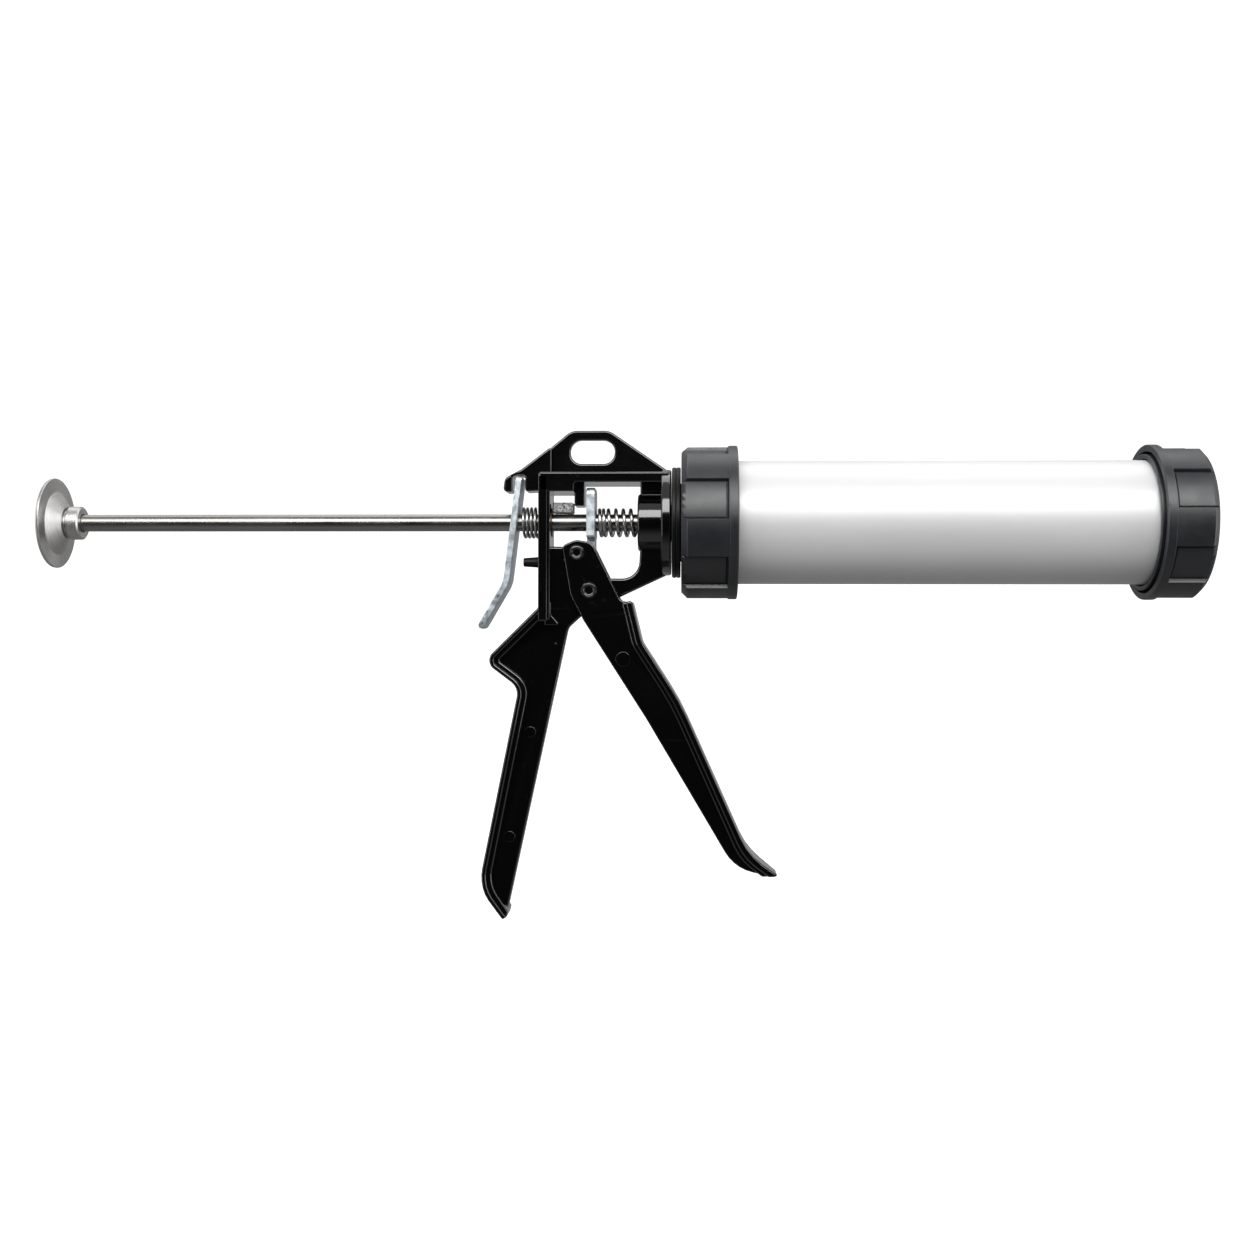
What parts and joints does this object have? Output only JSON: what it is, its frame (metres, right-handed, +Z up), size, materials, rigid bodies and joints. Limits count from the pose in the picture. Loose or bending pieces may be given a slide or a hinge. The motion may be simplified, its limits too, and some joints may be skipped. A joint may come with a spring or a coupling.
{
  "type": "caulking gun",
  "caption": "Hand caulking gun with a metal barrel between screw caps, a push rod with a pull knob, a trigger, a drive plate and a catch lever.",
  "frame": {"origin": "centre of the hang slot, on the gun's middle plane", "axes": "+X along the push rod towards the front cap, +Z up from the handle to the hang slot, +Y to the gun's left side when it points forward"},
  "size_m": [0.5028, 0.0672, 0.2144],
  "materials": {
    "black_paint": "high-gloss black enamel over a die casting",
    "hub_coating": "satin black coated steel",
    "cap_plastic": "satin charcoal moulded plastic, slightly blue",
    "tube_aluminium": "fine satin anodised, silver",
    "rod_steel": "bright drawn steel with lengthwise lines",
    "knob_steel": "lathe-turned and polished",
    "zinc_plate": "bright zinc plate, slightly blue, worn",
    "spring_wire": "bright spring wire",
    "rough_metal": "rough sintered grey metal",
    "bush_bronze": "oiled sintered bronze",
    "seal_rubber": "soft black rubber"
  },
  "bodies": {
    "frame": {"frame_casting": "black_paint", "barrel_hub": "hub_coating", "hub_retaining_ring": "spring_wire", "rod_bush": "bush_bronze", "pivot_rivet": "black_paint", "lever_stop_peg": "rough_metal", "rod_guide_shoe": "rough_metal", "drive_spring": "spring_wire", "catch_spring": "spring_wire"},
    "rod": {"push_rod": "rod_steel", "pull_knob": "knob_steel", "knob_collar": "knob_steel", "piston_rear_plate": "zinc_plate", "piston_seal": "seal_rubber", "piston_front_plate": "zinc_plate", "piston_nut": "zinc_plate"},
    "trigger": {"trigger": "black_paint", "push_pin": "black_paint", "push_roller": "rod_steel"},
    "drive_plate": {"drive_plate": "zinc_plate"},
    "catch_lever": {"catch_lever": "zinc_plate"},
    "rear_cap": {"rear_cap": "cap_plastic", "rear_gasket": "seal_rubber"},
    "barrel": {"barrel_tube": "tube_aluminium"},
    "front_seal": {"front_seal": "seal_rubber"},
    "front_cap": {"front_cap": "cap_plastic"}
  },
  "joints": [
    {"name": "rod_slide", "type": "slide", "parent": "frame", "child": "rod", "axis": [1, 0, 0], "range_m": [0, 0.188]},
    {"name": "trigger_pivot", "type": "hinge", "parent": "frame", "child": "trigger", "pos_m": [-0.0011, 0, -0.061], "axis": [0, 1, 0], "range_deg": [0, 28], "stiffness_Nm_per_rad": 0.6, "springref_deg": -20.05},
    {"name": "plate_slide", "type": "slide", "parent": "frame", "child": "drive_plate", "axis": [1, 0, 0], "range_m": [0, 0.0085], "deforming": ["drive_spring"]},
    {"name": "lever_hinge", "type": "hinge", "parent": "frame", "child": "catch_lever", "pos_m": [-0.0317, 0, -0.0114], "axis": [0, -1, 0], "range_deg": [0, 5], "stiffness_Nm_per_rad": 0.5, "springref_deg": -8.59, "deforming": ["catch_spring"]},
    {"name": "rear_cap_turn", "type": "hinge", "parent": "frame", "child": "rear_cap", "pos_m": [0.039, 0, -0.031], "axis": [-1, 0, 0], "range_deg": [0, 1080]},
    {"name": "barrel_slide", "type": "slide", "parent": "frame", "child": "barrel", "axis": [1, 0, 0], "range_m": [0, 0.012]},
    {"name": "front_seal_slide", "type": "slide", "parent": "barrel", "child": "front_seal", "axis": [1, 0, 0], "range_m": [0, 0.012]},
    {"name": "front_cap_turn", "type": "hinge", "parent": "front_seal", "child": "front_cap", "pos_m": [0.2613, 0, -0.031], "axis": [1, 0, 0], "range_deg": [0, 1080]}
  ],
  "couplings": [
    {"joint": "plate_slide", "follows": "trigger_pivot", "m_per_rad": 0.01702},
    {"joint": "rear_cap_turn", "follows": "barrel_slide", "rad_per_m": 1570.8},
    {"joint": "front_cap_turn", "follows": "front_seal_slide", "rad_per_m": 1570.8}
  ]
}
